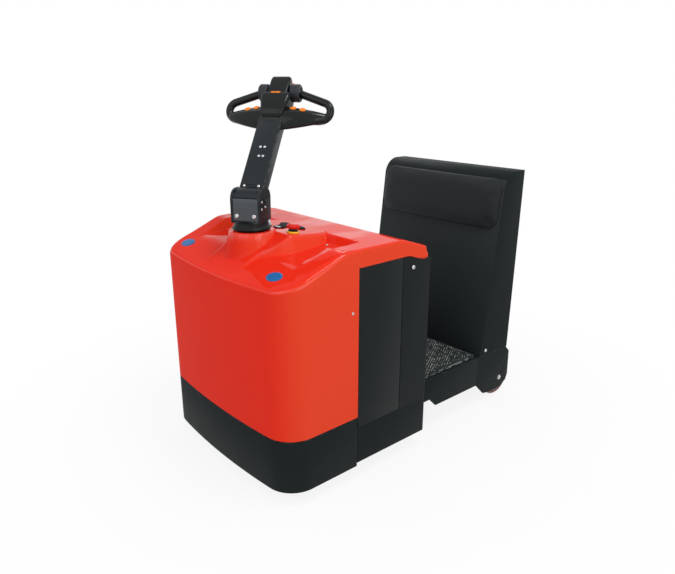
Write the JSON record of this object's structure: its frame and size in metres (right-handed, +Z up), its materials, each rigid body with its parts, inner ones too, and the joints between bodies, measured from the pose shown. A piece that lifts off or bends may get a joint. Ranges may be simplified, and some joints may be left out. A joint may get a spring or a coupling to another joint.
{
  "type": "electric tow tractor",
  "caption": "Stand-on electric tow tractor with a hooded drive end, steering tiller, rider platform, padded backrest and rear tow jaw.",
  "frame": {"origin": "on the floor under the middle of the vehicle's outer box", "axes": "+X across the vehicle, +Y towards the tow jaw at the rear, +Z up; the front faces -Y"},
  "size_m": [0.7, 1.237, 1.2221],
  "materials": {
    "red_hood": "glossy moulded hood",
    "black_paint": "satin black paint",
    "black_moulding": "fine grained black moulding",
    "grey_moulding": "dark grey moulding",
    "pad_vinyl": "black moulded vinyl",
    "mat_rubber": "studded dark grey rubber",
    "polyurethane": "brown polyurethane tread",
    "cast_grey": "painted grey casting",
    "bright_steel": "zinc plated steel",
    "signal_red": "glossy red",
    "signal_yellow": "yellow ring",
    "signal_orange": "orange push buttons",
    "battery_case": "closed battery box"
  },
  "bodies": {
    "chassis": {"chassis_frame": "black_paint", "front_skirt": "black_paint", "hood": "red_hood", "battery_panel_right": "black_paint", "battery_panel_left": "black_paint", "bulkhead": "black_paint", "battery": "battery_case", "platform_frame": "black_paint", "platform_mat": "mat_rubber", "backrest_shell": "black_paint", "backrest_pad": "pad_vinyl", "wheel_bracket_right": "black_paint", "wheel_bracket_left": "black_paint", "rear_axle_right": "bright_steel", "rear_axle_left": "bright_steel", "tow_jaw": "black_paint", "tow_pin": "bright_steel", "turntable_ring": "cast_grey", "console_insert": "black_moulding", "key_switch": "bright_steel", "stop_collar": "signal_yellow", "stop_button": "signal_red"},
    "steering": {"turntable": "cast_grey", "drive_gearcase": "cast_grey", "drive_axle": "bright_steel", "drive_motor": "cast_grey", "steering_column": "black_paint", "steering_collar": "black_moulding", "hinge_box": "black_paint", "pivot_pin": "bright_steel"},
    "tiller": {"tiller_arm": "black_paint", "handle_wing": "black_moulding", "hand_loops": "black_moulding", "control_head": "black_moulding", "thumb_wheels": "grey_moulding", "handle_buttons": "signal_orange", "belly_switch": "signal_red"},
    "drive_wheel": {"drive_hub": "cast_grey", "drive_tyre": "polyurethane"},
    "rear_wheel_right": {"rear_hub_right": "cast_grey", "rear_tyre_right": "polyurethane"},
    "rear_wheel_left": {"rear_hub_left": "cast_grey", "rear_tyre_left": "polyurethane"}
  },
  "joints": [
    {"name": "steering_turn", "type": "hinge", "parent": "chassis", "child": "steering", "pos_m": [0, -0.4595, 0.3], "axis": [0, 0, 1], "range_deg": [-123.5, 56.5]},
    {"name": "tiller_tilt", "type": "hinge", "parent": "steering", "child": "tiller", "pos_m": [0, -0.4595, 0.862], "axis": [0.8339, 0.5519, 0], "range_deg": [-40, 36]},
    {"name": "drive_wheel_spin", "type": "hinge", "parent": "steering", "child": "drive_wheel", "pos_m": [0, -0.4595, 0.115], "axis": [0.8339, 0.5519, 0], "continuous": true},
    {"name": "rear_wheel_right_spin", "type": "hinge", "parent": "chassis", "child": "rear_wheel_right", "pos_m": [0.263, 0.4875, 0.076], "axis": [1, 0, 0], "continuous": true},
    {"name": "rear_wheel_left_spin", "type": "hinge", "parent": "chassis", "child": "rear_wheel_left", "pos_m": [-0.263, 0.4875, 0.076], "axis": [1, 0, 0], "continuous": true}
  ]
}
